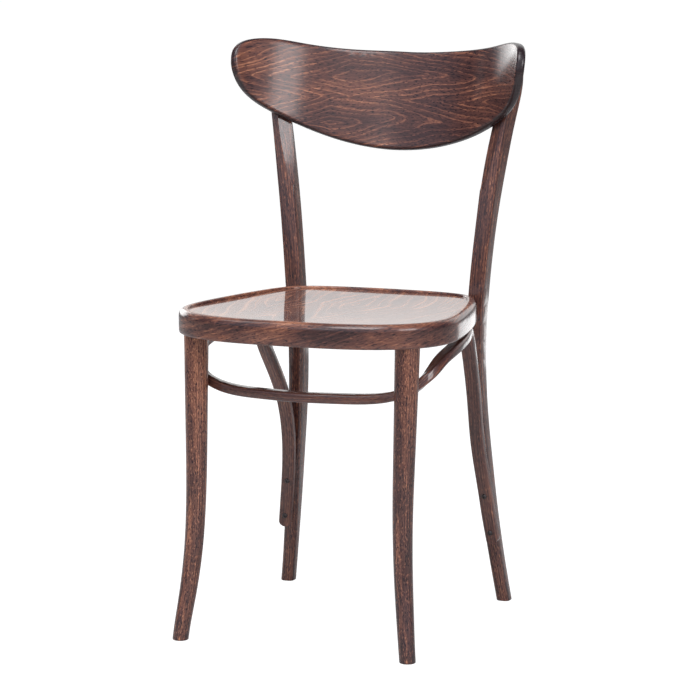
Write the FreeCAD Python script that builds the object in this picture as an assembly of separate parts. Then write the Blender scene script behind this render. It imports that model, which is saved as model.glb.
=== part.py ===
# Side chair in stained beech: bentwood seat ring with a dished plywood panel, two turned front
# legs, two bent rear posts, a moulded plywood backrest and one continuous bent stretcher bow.
# Millimetres. X runs to the viewer's right, Y to the back, Z up, floor at Z = 0.
import math
import os

import FreeCAD
import Part

Vec = FreeCAD.Vector

# seat ring and panel
SEAT_HEIGHT = 465.0          # floor to the top of the rim
RING_HEIGHT = 34.0
RING_WIDTH = 40.0
RIM_WIDTH = 13.0             # rim left outside the panel
RIM_OUTER_ROUNDING = 9.5
RIM_INNER_ROUNDING = 2.0
RING_LOWER_ROUNDING = 3.0
PANEL_THICKNESS = 7.0
PANEL_LOWEST_DROP = 7.5      # middle of the panel below the rim
PANEL_DISH_RADIUS = 5000.0
PANEL_LOWEST_Y = -15.0       # where the dish is deepest
PANEL_SIDE_GAP = 0.15
# right half of the ring's outline seen from above, from the middle of the front to the back
SEAT_OUTLINE = [
    (0.0, -209.0),
    (75.0, -205.8),
    (133.4, -190.5),
    (168.0, -167.6),
    (192.0, -134.5),
    (202.0, -94.0),
    (200.0, -52.0),
    (191.6, 0.0),
    (183.0, 42.0),
    (171.0, 90.0),
    (157.5, 129.0),
    (138.5, 157.0),
    (108.0, 172.0),
    (58.0, 180.0),
]
SEAT_OUTLINE_BACK = (0.0, 182.5)

RING_BOTTOM = SEAT_HEIGHT - RING_HEIGHT
# the heights along legs, posts and bow below are given for an underside of the ring at this level
DRAWN_RING_BOTTOM = 431.0

# front leg: height, distance from the middle, distance back, diameter
FRONT_LEG_SECTIONS = [
    (0.0, 171.4, -181.0, 22.8),
    (60.0, 164.4, -172.5, 24.6),
    (120.0, 158.6, -164.8, 26.4),
    (180.0, 155.8, -160.4, 28.0),
    (240.0, 155.4, -157.3, 29.6),
    (300.0, 156.1, -154.7, 31.2),
    (360.0, 156.9, -152.4, 32.8),
    (DRAWN_RING_BOTTOM, 157.8, -149.8, 34.6),
]
LEG_TENON_DIAMETER = 22.0
LEG_TENON_LENGTH = 17.0
TENON_GLUE_GAP = 0.1
TENON_END_GAP = 1.0
FOOT_ROUNDING = 1.5

# rear post: height, distance from the middle, distance back, width, depth, corner radius,
# degrees that the post is turned towards the middle of the chair
REAR_POST_SECTIONS = [
    (0.0, 175.1, 215.7, 20.6, 21.4, 7.4, 0.0),
    (60.0, 166.9, 207.4, 20.6, 21.8, 6.6, 0.0),
    (120.0, 159.6, 199.5, 21.0, 22.6, 5.6, 0.0),
    (180.0, 153.4, 192.6, 21.4, 24.4, 4.6, 0.0),
    (240.0, 147.8, 186.5, 22.0, 26.2, 3.8, 0.0),
    (300.0, 143.3, 181.6, 22.4, 27.4, 3.2, 0.0),
    (360.0, 141.4, 178.2, 22.8, 27.8, 2.8, 0.0),
    (420.0, 142.4, 176.6, 23.4, 27.6, 2.5, 0.0),
    (480.0, 146.1, 177.0, 24.0, 27.3, 2.5, 0.0),
    (560.0, 153.4, 180.9, 24.2, 27.3, 2.5, 0.5),
    (610.0, 159.2, 184.0, 25.2, 27.0, 2.5, 4.0),
    (650.0, 164.4, 186.6, 27.2, 25.2, 2.5, 11.0),
    (690.0, 170.4, 190.4, 28.2, 24.0, 2.5, 17.0),
    (730.0, 177.6, 195.6, 28.2, 23.6, 2.5, 21.5),
    (786.0, 185.6, 201.6, 24.0, 22.0, 2.5, 25.0),
]
POST_TOP_ROUNDING = 2.0

# backrest: a board bent in plan, flatter in the middle than towards its ends, leaning back;
# its outline is drawn on the unrolled front face
BACKREST_MIDDLE_RADIUS = 306.0
BACKREST_END_RADIUS = 202.0
BACKREST_RADIUS_CHANGE = 96.0     # distance round the curve from the middle
BACKREST_THICKNESS = 13.0
BACKREST_LEAN = 15.5         # degrees back from upright
BACKREST_MIDDLE_Y = 237.6
BACKREST_RISE = 280.0        # top of the rim to the middle of the board
BACKREST_ROUNDING = 4.7
BACKREST_BLANK_REACH = 120.0  # blank above and below the middle, before its outline is cut
# right half of the outline: distance round the curve, height above the middle point
BACKREST_TOP = (0.0, 67.8)
BACKREST_OUTLINE = [
    (78.0, 67.6),
    (154.0, 68.5),
    (217.5, 65.4),
    (267.0, 35.6),
    (261.5, 4.3),
    (181.0, -44.6),
    (90.5, -70.2),
]
BACKREST_BOTTOM = (0.0, -80.4)

# stretcher bow: one strip, its wide faces level from side to side all along
BOW_WIDTH = 20.0
BOW_THICKNESS = 13.5
BOW_ROUNDING = 3.4
BOW_LET_IN = 0.5             # into the underside of the ring
BOW_TOP_Z = DRAWN_RING_BOTTOM - BOW_THICKNESS / 2 + BOW_LET_IN
# right half of the centreline, from the middle of the front to the end on the rear post
BOW_PATH = [
    (0.0, -158.5, 354.4),
    (55.0, -152.0, 354.5),
    (103.5, -139.5, 355.2),
    (136.8, -131.0, 361.0),
    (160.0, -125.2, 372.3),
    (175.0, -113.5, 387.0),
    (182.0, -90.3, 403.0),
    (184.5, -53.0, 413.0),
    (181.5, -6.5, 418.8),
    (174.5, 32.2, 422.8),
    (167.5, 55.0, BOW_TOP_Z),
    (163.2, 69.5, BOW_TOP_Z - 1.3),
    (162.0, 81.0, 408.3),
    (161.5, 89.0, 392.0),
    (158.6, 108.0, 360.5),
    (153.0, 138.0, 310.0),
    (151.0, 160.5, 244.0),
    (156.7, 175.0, 178.0),
    (163.3, 182.5, 123.0),
    (167.6, 187.6, 92.0),
]
BOW_END_RADIUS = 10.0
BOW_SQUARING = 1.5           # turns the strip to face forwards where it falls to the rear posts
BOW_TWIST = 33.0             # degrees that the outer edge lifts, per unit of climb along the strip

# screws: shank diameter, head diameter, head height
SMALL_SCREW = (4.0, 8.0, 2.4)
SEAT_BOLT = (6.0, 11.0, 3.2)
PILOT_GAP = 0.05             # round every shank
BOW_HEAD_GAP = 0.1           # between the strip and the heads on it
BACKREST_SCREW_RISES = (-23.0, 11.0)   # from the middle of the board
PLANED_BELOW = 150.0         # the flat planed on each post, below the middle of the backrest
PLANED_ABOVE = 140.0
PLANED_END_RADIUS = 14.0
BACKREST_SCREW_DEPTH = 9.0   # into the backrest
BACKREST_SCREW_SEAT = 11.2   # post centreline to the flat under the head
BACKREST_SCREW_SHIFT = 4.5   # from the post's centreline towards its outer side
POST_HEAD_RECESS_GAP = 0.3   # round the head
SEAT_BOLT_RISE = 11.0        # above the underside of the ring
SEAT_BOLT_DEPTH = 42.0       # post centreline to the tip
SEAT_BOLT_SEAT = 12.7        # post centreline to the flat under the head
SEAT_BOLT_ANGLE = 15.0       # degrees from the Y axis
BOW_REAR_SCREW_RISES = (17.5, 73.0)   # above the end of the centreline
BOW_REAR_SCREW_DEPTH = 12.0  # into the rear post
BOW_CORNER_SCREW_DEPTH = 14.0
BOW_SEAT_SCREW_DEPTH = 14.0
BOW_SEAT_SCREW_Y = 52.0


def height_at(drawn):
    # legs stretch with the height of the seat, and what is above its ring moves with it
    if drawn <= DRAWN_RING_BOTTOM:
        return drawn * RING_BOTTOM / DRAWN_RING_BOTTOM
    return drawn + RING_BOTTOM - DRAWN_RING_BOTTOM


def mirrored(points):
    return [(-x, y) for x, y in reversed(points)]


def closed_curve(points):
    curve = Part.BSplineCurve()
    curve.interpolate(Points=points, PeriodicFlag=True)
    return curve


def seat_outline(inset):
    # the ring's outline, moved inwards by the inset
    half = [Vec(x, y, 0) for x, y in SEAT_OUTLINE[1:]]
    other = [Vec(x, y, 0) for x, y in mirrored(SEAT_OUTLINE[1:])]
    front = Vec(SEAT_OUTLINE[0][0], SEAT_OUTLINE[0][1], 0)
    back = Vec(SEAT_OUTLINE_BACK[0], SEAT_OUTLINE_BACK[1], 0)
    curve = closed_curve([front] + half + [back] + other)
    if inset == 0:
        return curve
    count = 64
    moved = []
    for i in range(count):
        at = curve.FirstParameter + (curve.LastParameter - curve.FirstParameter) * i / count
        along = curve.tangent(at)[0]
        moved.append(curve.value(at) + Vec(-along.y, along.x, 0) * inset)
    return closed_curve(moved)


def seat_prism(inset, bottom, top):
    wire = Part.Wire(seat_outline(inset).toShape())
    wire.translate(Vec(0, 0, bottom))
    return Part.Face(wire).extrude(Vec(0, 0, top - bottom))


def dish(depth):
    # the hollow of the panel, deepened by the depth; a large ball turned on its side
    centre_z = SEAT_HEIGHT - PANEL_LOWEST_DROP + PANEL_DISH_RADIUS
    radius = PANEL_DISH_RADIUS + depth
    ball = Part.makeSphere(radius, Vec(0, 0, 0), Vec(0, 0, 1), -90, 90, 360)
    ball.rotate(Vec(0, 0, 0), Vec(1, 0, 0), 90)
    ball.rotate(Vec(0, 0, 0), Vec(0, 1, 0), 45)
    ball.translate(Vec(0, PANEL_LOWEST_Y, centre_z))
    return ball


def edges_at(shape, height, longest=True):
    # the edges lying at one height: the outer ones or the inner ones
    found = []
    for edge in shape.Edges:
        box = edge.BoundBox
        if abs(box.ZMin - height) < 0.01 and abs(box.ZMax - height) < 0.01:
            found.append(edge)
    found.sort(key=lambda edge: edge.BoundBox.XLength)
    return found[-1:] if longest else found[:1]


def make_ring():
    ring = seat_prism(0, RING_BOTTOM, SEAT_HEIGHT)
    ring = ring.cut(seat_prism(RING_WIDTH, RING_BOTTOM - 1, SEAT_HEIGHT + 1))
    ring = ring.makeFillet(RIM_OUTER_ROUNDING, edges_at(ring, SEAT_HEIGHT))
    lower = edges_at(ring, RING_BOTTOM) + edges_at(ring, RING_BOTTOM, longest=False)
    ring = ring.makeFillet(RING_LOWER_ROUNDING, lower)
    pocket = seat_prism(RIM_WIDTH, RING_BOTTOM, SEAT_HEIGHT + 1).common(dish(PANEL_THICKNESS))
    ring = ring.cut(pocket)
    return ring.makeFillet(RIM_INNER_ROUNDING, edges_at(ring, SEAT_HEIGHT, longest=False))


def make_panel():
    blank = seat_prism(RIM_WIDTH + PANEL_SIDE_GAP, RING_BOTTOM, SEAT_HEIGHT + 1)
    return blank.common(dish(PANEL_THICKNESS)).cut(dish(0))


def make_front_leg():
    rings = []
    for z, x, y, diameter in FRONT_LEG_SECTIONS:
        rings.append(Part.Wire(Part.makeCircle(diameter / 2, Vec(x, y, height_at(z)))))
    leg = Part.makeLoft(rings, True, False)
    leg = leg.makeFillet(FOOT_ROUNDING, edges_at(leg, 0))
    return leg.fuse(leg_tenon(0, 0))


def leg_tenon(gap, end_gap):
    top = FRONT_LEG_SECTIONS[-1]
    length = LEG_TENON_LENGTH + end_gap
    return Part.makeCylinder(LEG_TENON_DIAMETER / 2 + gap, length, Vec(top[1], top[2], RING_BOTTOM))


def rounded_rectangle(width, depth, radius, centre, across, along):
    # a closed wire of lines and quarter circles in the plane of the two directions
    half_w = width / 2
    half_d = depth / 2
    edges = []
    corners = [(1, 1), (-1, 1), (-1, -1), (1, -1)]
    starts = []
    for i, (sx, sy) in enumerate(corners):
        middle_x = sx * (half_w - radius)
        middle_y = sy * (half_d - radius)
        first = math.radians(90 * i)
        points = []
        for step in range(3):
            angle = first + math.radians(45 * step)
            u = middle_x + radius * math.cos(angle)
            v = middle_y + radius * math.sin(angle)
            points.append(centre + across * u + along * v)
        starts.append(points)
    for i, points in enumerate(starts):
        edges.append(Part.Arc(points[0], points[1], points[2]).toShape())
        edges.append(Part.makeLine(points[2], starts[(i + 1) % 4][0]))
    return Part.Wire(edges)


def make_rear_post():
    wires = []
    for z, x, y, width, depth, radius, turn in REAR_POST_SECTIONS:
        angle = math.radians(turn)
        across = Vec(math.cos(angle), -math.sin(angle), 0)
        along = Vec(math.sin(angle), math.cos(angle), 0)
        centre = Vec(x, y, height_at(z))
        wires.append(rounded_rectangle(width, depth, radius, centre, across, along))
    post = Part.makeLoft(wires, True, False)
    top_z = height_at(REAR_POST_SECTIONS[-1][0])
    foot = [edge for edge in post.Edges if edge.BoundBox.ZMax < 0.01]
    top = [edge for edge in post.Edges if edge.BoundBox.ZMin > top_z - 0.01]
    return post.makeFillet(FOOT_ROUNDING, foot).makeFillet(POST_TOP_ROUNDING, top)


def lean_axes():
    lean = math.radians(BACKREST_LEAN)
    forward = Vec(0, -math.cos(lean), math.sin(lean))
    upward = Vec(0, math.sin(lean), math.cos(lean))
    middle = Vec(0, BACKREST_MIDDLE_Y, SEAT_HEIGHT + BACKREST_RISE)
    return middle, forward, upward


def on_plan(round_the_curve, offset):
    # sideways and forward distances of a point the offset behind the front face, and its angle
    change = BACKREST_RADIUS_CHANGE / BACKREST_MIDDLE_RADIUS
    reach = abs(round_the_curve)
    if reach < BACKREST_RADIUS_CHANGE:
        angle = reach / BACKREST_MIDDLE_RADIUS
        x = BACKREST_MIDDLE_RADIUS * math.sin(angle)
        ahead = BACKREST_MIDDLE_RADIUS * (1 - math.cos(angle))
    else:
        angle = change + (reach - BACKREST_RADIUS_CHANGE) / BACKREST_END_RADIUS
        x = BACKREST_MIDDLE_RADIUS * math.sin(change)
        x = x + BACKREST_END_RADIUS * (math.sin(angle) - math.sin(change))
        ahead = BACKREST_MIDDLE_RADIUS * (1 - math.cos(change))
        ahead = ahead + BACKREST_END_RADIUS * (math.cos(change) - math.cos(angle))
    x = x + offset * math.sin(angle)
    ahead = ahead - offset * math.cos(angle)
    return math.copysign(x, round_the_curve), ahead, math.copysign(angle, round_the_curve)


def on_backrest(round_the_curve, height, offset):
    middle, forward, upward = lean_axes()
    x, ahead, angle = on_plan(round_the_curve, offset)
    return middle + Vec(x, 0, 0) + forward * ahead + upward * height


def board_edge(offset, height):
    # the bend of the board at one height, a little longer than the board
    count = 20
    longest = BACKREST_OUTLINE[3][0] + 2 * BACKREST_THICKNESS
    points = []
    for i in range(-count, count + 1):
        points.append(on_backrest(longest * i / count, height, offset))
    curve = Part.BSplineCurve()
    curve.interpolate(Points=points)
    return curve.toShape()


def board_block(front, back, below, above):
    # everything between two bends, from below to above the middle of the board
    middle, forward, upward = lean_axes()
    edges = [board_edge(front, -below), board_edge(back, -below)]
    for side in (0, 1):
        edges.append(Part.makeLine(edges[0].Vertexes[side].Point, edges[1].Vertexes[side].Point))
    wire = Part.Wire(Part.__sortEdges__(edges))
    return Part.Face(wire).extrude(upward * (below + above))


def board_hollow(below, above):
    # everything in front of the back of the board, with a rounded run-out at its lower end
    middle, forward, upward = lean_axes()
    edge = board_edge(BACKREST_THICKNESS, -below)
    closing = Part.makeLine(edge.Vertexes[0].Point, edge.Vertexes[1].Point)
    block = Part.Face(Part.Wire([edge, closing])).extrude(upward * (below + above))
    end = [each for each in block.Edges
           if each.Length > closing.Length * 1.01 and (each.CenterOfMass - middle).dot(upward) < 0]
    return block.makeFillet(PLANED_END_RADIUS, end)


def backrest_wire(offset):
    points = [BACKREST_TOP] + BACKREST_OUTLINE + [BACKREST_BOTTOM] + mirrored(BACKREST_OUTLINE)
    flat = closed_curve([Vec(s, v, 0) for s, v in points])
    count = 60
    wrapped = []
    for i in range(count):
        at = flat.FirstParameter + (flat.LastParameter - flat.FirstParameter) * i / count
        spot = flat.value(at)
        wrapped.append(on_backrest(spot.x, spot.y, offset))
    return Part.Wire(closed_curve(wrapped).toShape())


def make_backrest():
    slab = board_block(0, BACKREST_THICKNESS, BACKREST_BLANK_REACH, BACKREST_BLANK_REACH)
    beyond = BACKREST_ROUNDING
    side = Part.makeLoft([backrest_wire(-beyond), backrest_wire(BACKREST_THICKNESS + beyond)], False, True)
    pieces = slab.generalFuse([side])[0].Solids
    inside = on_backrest(0, 0, BACKREST_THICKNESS / 2)
    board = [piece for piece in pieces if piece.isInside(inside, 0.01, True)][0]
    rims = [edge for edge in board.Edges if edge.Length > 10 * BACKREST_THICKNESS]
    return board.makeFillet(BACKREST_ROUNDING, rims)


def bow_curve():
    left = [Vec(-x, y, height_at(z)) for x, y, z in reversed(BOW_PATH[1:])]
    right = [Vec(x, y, height_at(z)) for x, y, z in BOW_PATH]
    curve = Part.BSplineCurve()
    curve.interpolate(Points=left + right)
    return curve


def bow_frame(curve, at):
    # the centre, the direction along, the level direction outwards and the face that is screwed on
    centre = curve.value(at)
    along = curve.tangent(at)[0]
    falling = max(0, -along.z) if centre.x > 0 else min(0, -along.z)
    across = Vec(along.y + BOW_SQUARING * falling, -along.x, 0)
    across = across - along * across.dot(along)
    across.normalize()
    climbing = max(0, along.z) if centre.x > 0 else max(0, -along.z)
    twist = math.radians(BOW_TWIST * climbing)
    across = across * math.cos(twist) + across.cross(along) * math.sin(twist)
    return centre, along, across, across.cross(along)


def bow_stations(curve):
    # parameters along the curve, closer together where it bends, alike on both sides
    middle = (curve.FirstParameter + curve.LastParameter) / 2
    fine = 750
    step = (curve.LastParameter - middle) / fine
    half = []
    last = bow_frame(curve, middle)
    for i in range(1, fine):
        here = bow_frame(curve, middle + step * i)
        turned = math.degrees(last[1].getAngle(here[1]) + last[2].getAngle(here[2]))
        if turned > 11 or (here[0] - last[0]).Length > 30:
            half.append(middle + step * i)
            last = here
    if (curve.value(curve.LastParameter) - last[0]).Length < 10:
        half.pop()
    half.append(curve.LastParameter)
    return [2 * middle - at for at in reversed(half)] + [middle] + half


def make_bow():
    curve = bow_curve()
    wires = []
    for at in bow_stations(curve):
        centre, along, across, outer = bow_frame(curve, at)
        wires.append(rounded_rectangle(BOW_WIDTH, BOW_THICKNESS, BOW_ROUNDING, centre, across, outer))
    bow = Part.makeLoft(wires, True, False)
    for at, way in ((curve.FirstParameter, -1), (curve.LastParameter, 1)):
        bow = bow.cut(end_cutter(curve, at, way))
    return bow


def end_cutter(curve, at, way):
    # what is left outside a half circle at the end of the strip
    centre, along, across, outer = bow_frame(curve, at)
    along = along * way
    middle = centre - along * BOW_END_RADIUS
    half = BOW_WIDTH
    corners = [middle - across * half, middle + across * half]
    corners = corners + [corners[1] + along * half, corners[0] + along * half]
    corners = [corner - outer * half for corner in corners]
    block = Part.Face(Part.makePolygon(corners + corners[:1])).extrude(outer * 2 * half)
    return block.cut(Part.makeCylinder(BOW_END_RADIUS, 4 * half, middle - outer * 2 * half, outer))


def bow_at(goal):
    # the frame of the right half where the goal function is smallest
    curve = bow_curve()
    middle = (curve.FirstParameter + curve.LastParameter) / 2
    best = None
    for i in range(4001):
        at = middle + (curve.LastParameter - middle) * i / 4000
        frame = bow_frame(curve, at)
        value = goal(frame[0])
        if best is None or value < best[0]:
            best = (value, frame)
    return best[1]


def screw(kind, seat, inward, length):
    # a domed head on its seat and a plain pointed shank
    shank, head, height = kind
    ball = (head * head / 4 + height * height) / (2 * height)
    middle_z = math.sqrt(ball * ball - head * head / 16) - (ball - height)
    tip = Vec(0, 0, -length)
    neck = Vec(shank / 2, 0, -length + shank)
    under = Vec(shank / 2, 0, 0)
    rim = Vec(head / 2, 0, 0)
    top = Vec(0, 0, height)
    edges = [Part.makeLine(tip, neck), Part.makeLine(neck, under), Part.makeLine(under, rim)]
    edges.append(Part.Arc(rim, Vec(head / 4, 0, middle_z), top).toShape())
    edges.append(Part.makeLine(top, tip))
    body = Part.Face(Part.Wire(edges)).revolve(Vec(0, 0, 0), Vec(0, 0, 1), 360)
    turn = FreeCAD.Rotation(Vec(0, 0, -1), inward)
    body.Placement = FreeCAD.Placement(seat, turn)
    return body


def pilot(kind, seat, inward, length):
    # the hole round a shank, begun outside the piece under the head
    mouth = seat - inward * kind[2]
    return Part.makeCylinder(kind[0] / 2 + PILOT_GAP, length + kind[2] + PILOT_GAP, mouth, inward)


def head_recess(kind, seat, inward):
    return Part.makeCylinder(kind[1] / 2 + POST_HEAD_RECESS_GAP, 3 * kind[2], seat, inward * -1)


def post_centre(height):
    # the post's centreline and the direction of its width, straight between its sections
    for low, high in zip(REAR_POST_SECTIONS, REAR_POST_SECTIONS[1:]):
        lower, upper = height_at(low[0]), height_at(high[0])
        if lower <= height <= upper:
            share = (height - lower) / (upper - lower)
            x = low[1] + (high[1] - low[1]) * share
            y = low[2] + (high[2] - low[2]) * share
            turn = math.radians(low[6] + (high[6] - low[6]) * share)
            return Vec(x, y, height), Vec(math.cos(turn), -math.sin(turn), 0)


def backrest_screws():
    # square to the backrest, through the post from behind
    middle, forward, upward = lean_axes()
    found = []
    for rise in BACKREST_SCREW_RISES:
        centre, across = post_centre(middle.z + rise)
        centre = centre + across * BACKREST_SCREW_SHIFT
        spot = centre - middle
        best = None
        for i in range(1000):
            round_the_curve = BACKREST_RADIUS_CHANGE + 0.15 * i
            x, ahead, angle = on_plan(round_the_curve, BACKREST_THICKNESS)
            apart = math.hypot(spot.x - x, spot.dot(forward) - ahead)
            if best is None or apart < best[0]:
                best = (apart, angle)
        to_board, angle = best
        outward = Vec(math.sin(angle), 0, 0) - forward * math.cos(angle)
        length = BACKREST_SCREW_SEAT + to_board + BACKREST_SCREW_DEPTH
        found.append((centre + outward * BACKREST_SCREW_SEAT, outward * -1, length))
    return found


def seat_bolt():
    angle = math.radians(SEAT_BOLT_ANGLE)
    outward = Vec(math.sin(angle), math.cos(angle), 0)
    centre, across = post_centre(RING_BOTTOM + SEAT_BOLT_RISE)
    seat = centre + outward * SEAT_BOLT_SEAT
    return seat, outward * -1, SEAT_BOLT_SEAT + SEAT_BOLT_DEPTH


def bow_rear_screws():
    found = []
    end = Vec(*BOW_PATH[-1])
    for rise in BOW_REAR_SCREW_RISES:
        height = height_at(end.z) + rise
        centre, along, across, outer = bow_at(
            lambda spot: abs(spot.z - height) if spot.y > 100 else 1000)
        seat = centre - outer * (BOW_THICKNESS / 2 + BOW_HEAD_GAP)
        found.append((seat, outer, BOW_THICKNESS + BOW_REAR_SCREW_DEPTH))
    return found


def bow_corner_screw():
    # from inside the corner, through the width of the strip, into the front leg
    top = FRONT_LEG_SECTIONS[-2]
    axis = Vec(top[1], top[2], 0)
    centre, along, across, outer = bow_at(lambda spot: (Vec(spot.x, spot.y, 0) - axis).Length)
    seat = centre - across * (BOW_WIDTH / 2 + BOW_HEAD_GAP)
    return seat, across, BOW_WIDTH + BOW_CORNER_SCREW_DEPTH


def bow_seat_screw():
    # from below, through the thickness of the strip, into the ring
    centre, along, across, outer = bow_at(lambda spot: abs(spot.y - BOW_SEAT_SCREW_Y))
    seat = centre - outer * (BOW_THICKNESS / 2 + BOW_HEAD_GAP)
    return seat, outer, BOW_THICKNESS + BOW_SEAT_SCREW_DEPTH


def make_parts():
    ring = make_ring()
    panel = make_panel()
    backrest = make_backrest()
    bow = make_bow()
    leg = make_front_leg()
    post = make_rear_post()
    hollow = board_hollow(PLANED_BELOW, PLANED_ABOVE)

    back_screws = backrest_screws()
    bolts = [seat_bolt()]
    rear_screws = bow_rear_screws()
    corner_screws = [bow_corner_screw()]
    seat_screws = [bow_seat_screw()]

    # each pair of pieces: the cutting one keeps its shape, the other is let in round it
    for hand in (post, flipped(post)):
        ring = ring.cut(hand)
    ring = ring.cut(bow)
    socket = leg_tenon(TENON_GLUE_GAP, TENON_END_GAP)
    ring = ring.cut(socket).cut(flipped(socket))
    leg = leg.cut(bow)
    post = post.cut(hollow).cut(bow)

    for found in back_screws + bolts:
        kind = SEAT_BOLT if found in bolts else SMALL_SCREW
        post = post.cut(pilot(kind, *found)).cut(head_recess(kind, found[0], found[1]))
    for found in rear_screws:
        post = post.cut(pilot(SMALL_SCREW, *found))
    for found in corner_screws:
        leg = leg.cut(pilot(SMALL_SCREW, *found))
    for found in back_screws:
        hole = pilot(SMALL_SCREW, *found)
        backrest = backrest.cut(hole).cut(flipped(hole))
    for found in bolts:
        hole = pilot(SEAT_BOLT, *found)
        ring = ring.cut(hole).cut(flipped(hole))
    for found in seat_screws:
        hole = pilot(SMALL_SCREW, *found)
        ring = ring.cut(hole).cut(flipped(hole))
    for found in rear_screws + corner_screws + seat_screws:
        hole = pilot(SMALL_SCREW, *found)
        bow = bow.cut(hole).cut(flipped(hole))

    return {
        "seat_ring": ring,
        "seat_panel": panel,
        "front_leg_left": flipped(leg),
        "front_leg_right": leg,
        "rear_post_left": flipped(post),
        "rear_post_right": post,
        "backrest": backrest,
        "stretcher_bow": bow,
        "backrest_screws": both_sides(SMALL_SCREW, back_screws),
        "seat_bolts": both_sides(SEAT_BOLT, bolts),
        "bow_post_screws": both_sides(SMALL_SCREW, rear_screws),
        "bow_leg_screws": both_sides(SMALL_SCREW, corner_screws),
        "bow_ring_screws": both_sides(SMALL_SCREW, seat_screws),
    }


def flipped(shape):
    return shape.mirror(Vec(0, 0, 0), Vec(1, 0, 0))


def both_sides(kind, places):
    screws = [screw(kind, *place) for place in places]
    return Part.makeCompound(screws + [flipped(body) for body in screws])


parts = make_parts()
whole = Part.makeCompound(list(parts.values())).optimalBoundingBox(False, False)
middle_y = (whole.YMin + whole.YMax) / 2
print("middle of the chair from front to back:", round(middle_y, 3))
os.makedirs("parts", exist_ok=True)
for name, shape in parts.items():
    shape.translate(Vec(0, -middle_y, 0))
    solids = shape.Solids
    shape = solids[0] if len(solids) == 1 else Part.makeCompound(solids)
    print(name, shape.isValid(), len(solids), len(shape.Faces), round(shape.Volume / 1000, 2))
    shape.exportStep("parts/" + name + ".step")
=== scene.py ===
import math

import bpy
import numpy as np
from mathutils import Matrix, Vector


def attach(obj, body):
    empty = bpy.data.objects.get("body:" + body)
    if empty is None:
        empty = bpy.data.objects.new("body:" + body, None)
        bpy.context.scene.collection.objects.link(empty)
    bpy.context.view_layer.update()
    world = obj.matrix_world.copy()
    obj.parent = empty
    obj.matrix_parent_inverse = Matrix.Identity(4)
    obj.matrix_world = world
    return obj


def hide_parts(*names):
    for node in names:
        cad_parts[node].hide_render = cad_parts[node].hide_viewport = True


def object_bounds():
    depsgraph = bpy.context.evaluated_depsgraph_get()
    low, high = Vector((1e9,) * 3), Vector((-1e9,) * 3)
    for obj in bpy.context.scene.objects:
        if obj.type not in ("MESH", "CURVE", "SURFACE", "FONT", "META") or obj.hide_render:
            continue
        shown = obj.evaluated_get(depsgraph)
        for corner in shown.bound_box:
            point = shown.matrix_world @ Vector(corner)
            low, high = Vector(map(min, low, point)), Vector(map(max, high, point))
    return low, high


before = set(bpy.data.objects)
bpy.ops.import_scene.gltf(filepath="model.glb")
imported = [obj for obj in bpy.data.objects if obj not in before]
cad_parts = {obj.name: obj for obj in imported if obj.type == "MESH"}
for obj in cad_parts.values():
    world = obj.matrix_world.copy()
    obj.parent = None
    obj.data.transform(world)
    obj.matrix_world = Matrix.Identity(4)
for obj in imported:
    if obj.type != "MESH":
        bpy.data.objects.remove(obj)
cadLow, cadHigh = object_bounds()
bpy.ops.object.select_all(action="DESELECT")
print("frame loaded")


# small helpers

def stain(red, green, blue):
    # a colour as a picture shows it, made linear for the shader
    def linear(part):
        part = part / 255
        return part / 12.92 if part <= 0.04045 else ((part + 0.055) / 1.055) ** 2.4
    return (linear(red), linear(green), linear(blue), 1.0)


def newMaterial(name):
    material = bpy.data.materials.new(name)
    material.use_nodes = True
    tree = material.node_tree
    tree.nodes.clear()
    out = addNode(tree, "ShaderNodeOutputMaterial")
    shader = addNode(tree, "ShaderNodeBsdfPrincipled")
    tree.links.new(shader.outputs["BSDF"], out.inputs["Surface"])
    return material, tree, shader


def addNode(tree, kind, inputs=None, **settings):
    node = tree.nodes.new(kind)
    for key, value in settings.items():
        setattr(node, key, value)
    for key, value in (inputs or {}).items():
        node.inputs[key].default_value = value
    return node


def addRamp(tree, factor, stops):
    ramp = addNode(tree, "ShaderNodeValToRGB")
    while len(ramp.color_ramp.elements) < len(stops):
        ramp.color_ramp.elements.new(0.5)
    for element, (place, colour) in zip(ramp.color_ramp.elements, stops):
        element.position = place
        element.color = colour
    tree.links.new(factor, ramp.inputs["Fac"])
    return ramp.outputs["Color"]


def grey(value):
    return (value, value, value, 1)


def addStep(tree, factor, low, high):
    # 0 up to low, 1 from high
    return addRamp(tree, factor, [(low, grey(0)), (high, grey(1))])


def stretched(tree, vector, along, across, depth=None, shift=(0, 0, 0)):
    # the grain's own coordinates, so many turns to the metre
    scale = (along, across, across if depth is None else depth)
    node = addNode(tree, "ShaderNodeMapping", {"Scale": scale, "Location": shift})
    tree.links.new(vector, node.inputs["Vector"])
    return node.outputs["Vector"]


fineNoise = (3.0, 0.6)      # more octaves than the others, and stronger small ones


def addNoise(tree, vector, detail=2.0, roughness=0.5, output="Fac"):
    node = addNode(tree, "ShaderNodeTexNoise", {"Scale": 1.0, "Detail": detail, "Roughness": roughness})
    tree.links.new(vector, node.inputs["Vector"])
    return node.outputs[output]


def mixIn(tree, layer, amount, base):
    # layer times amount, on top of base, which is a number or another layer
    node = addNode(tree, "ShaderNodeMath", {1: amount}, operation="MULTIPLY_ADD")
    tree.links.new(layer, node.inputs[0])
    if isinstance(base, (int, float)):
        node.inputs[2].default_value = base
    else:
        tree.links.new(base, node.inputs[2])
    return node.outputs[0]


# stained and lacquered wood

stainColours = [
    (0.00, stain(36, 23, 27)),
    (0.25, stain(60, 38, 38)),
    (0.48, stain(90, 57, 51)),
    (0.70, stain(127, 81, 66)),
    (0.88, stain(158, 104, 80)),
    (1.00, stain(184, 127, 98)),
]

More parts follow.
